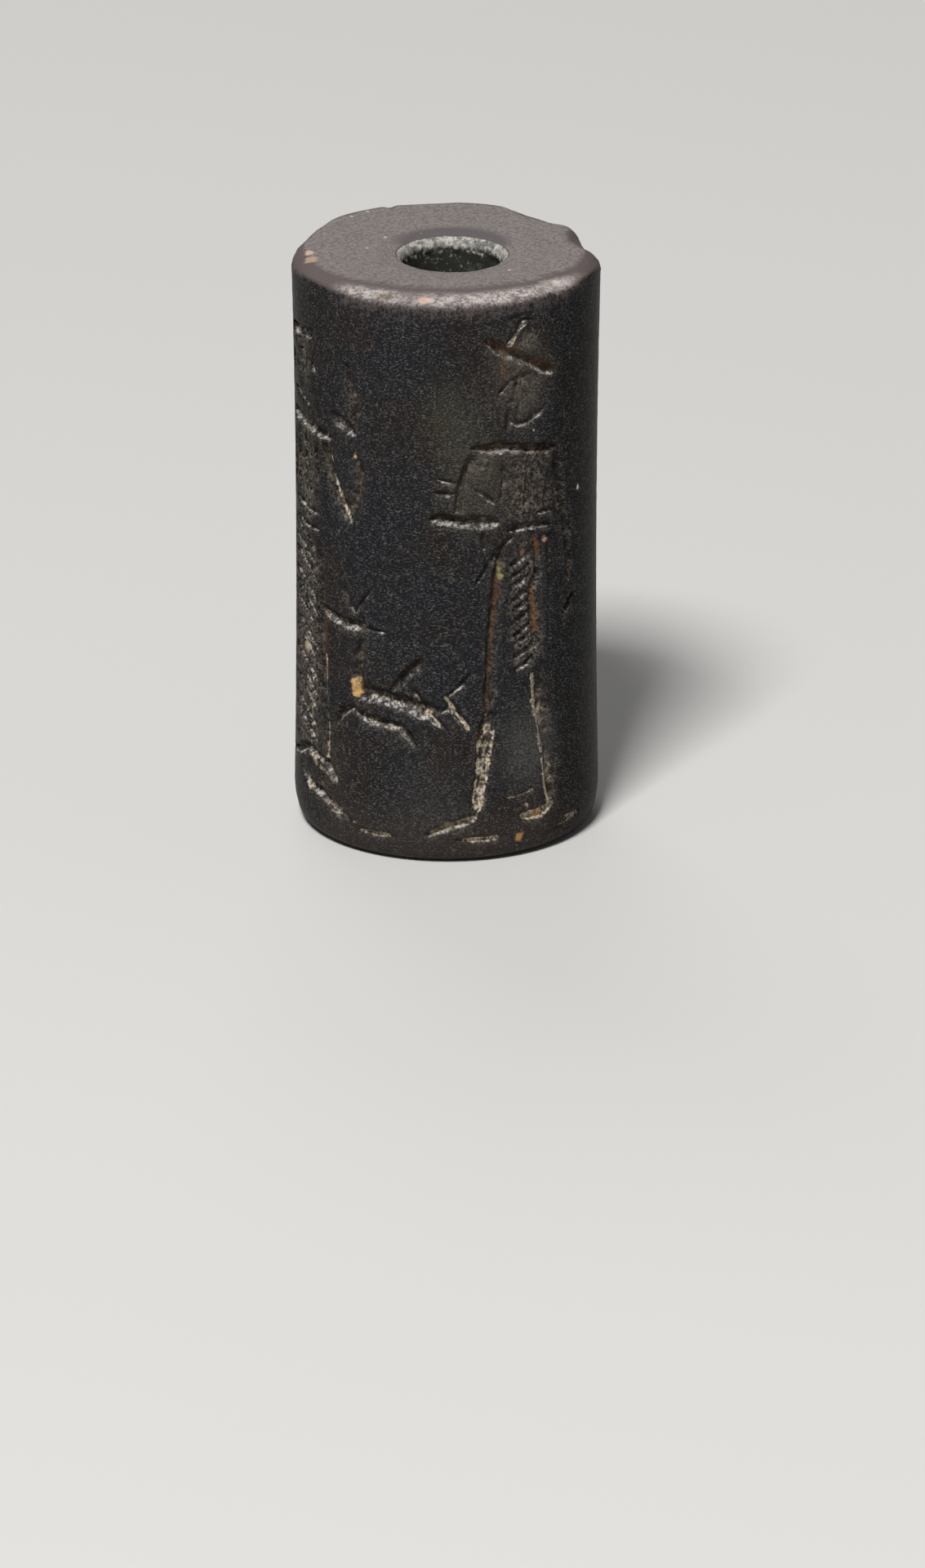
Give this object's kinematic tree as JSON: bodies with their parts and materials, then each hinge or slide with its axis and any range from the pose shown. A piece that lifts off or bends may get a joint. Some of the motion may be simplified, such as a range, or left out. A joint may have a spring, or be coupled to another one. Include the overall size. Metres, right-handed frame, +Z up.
{
  "type": "cylinder seal",
  "caption": "Small drilled dark stone cylinder with an engraved scene of figures round its wall, rolled over clay to print a seal.",
  "frame": {"origin": "middle of the flat foot that the seal stands on", "axes": "+Z up along the bore, front of the engraved scene towards -Y, +X to the viewer's right"},
  "size_m": [0.012, 0.012, 0.0232],
  "materials": {
    "haematite": "satin, worn smooth, with pale dirt in the cuts"
  },
  "bodies": {
    "root": {"seal": "haematite"}
  },
  "joints": []
}
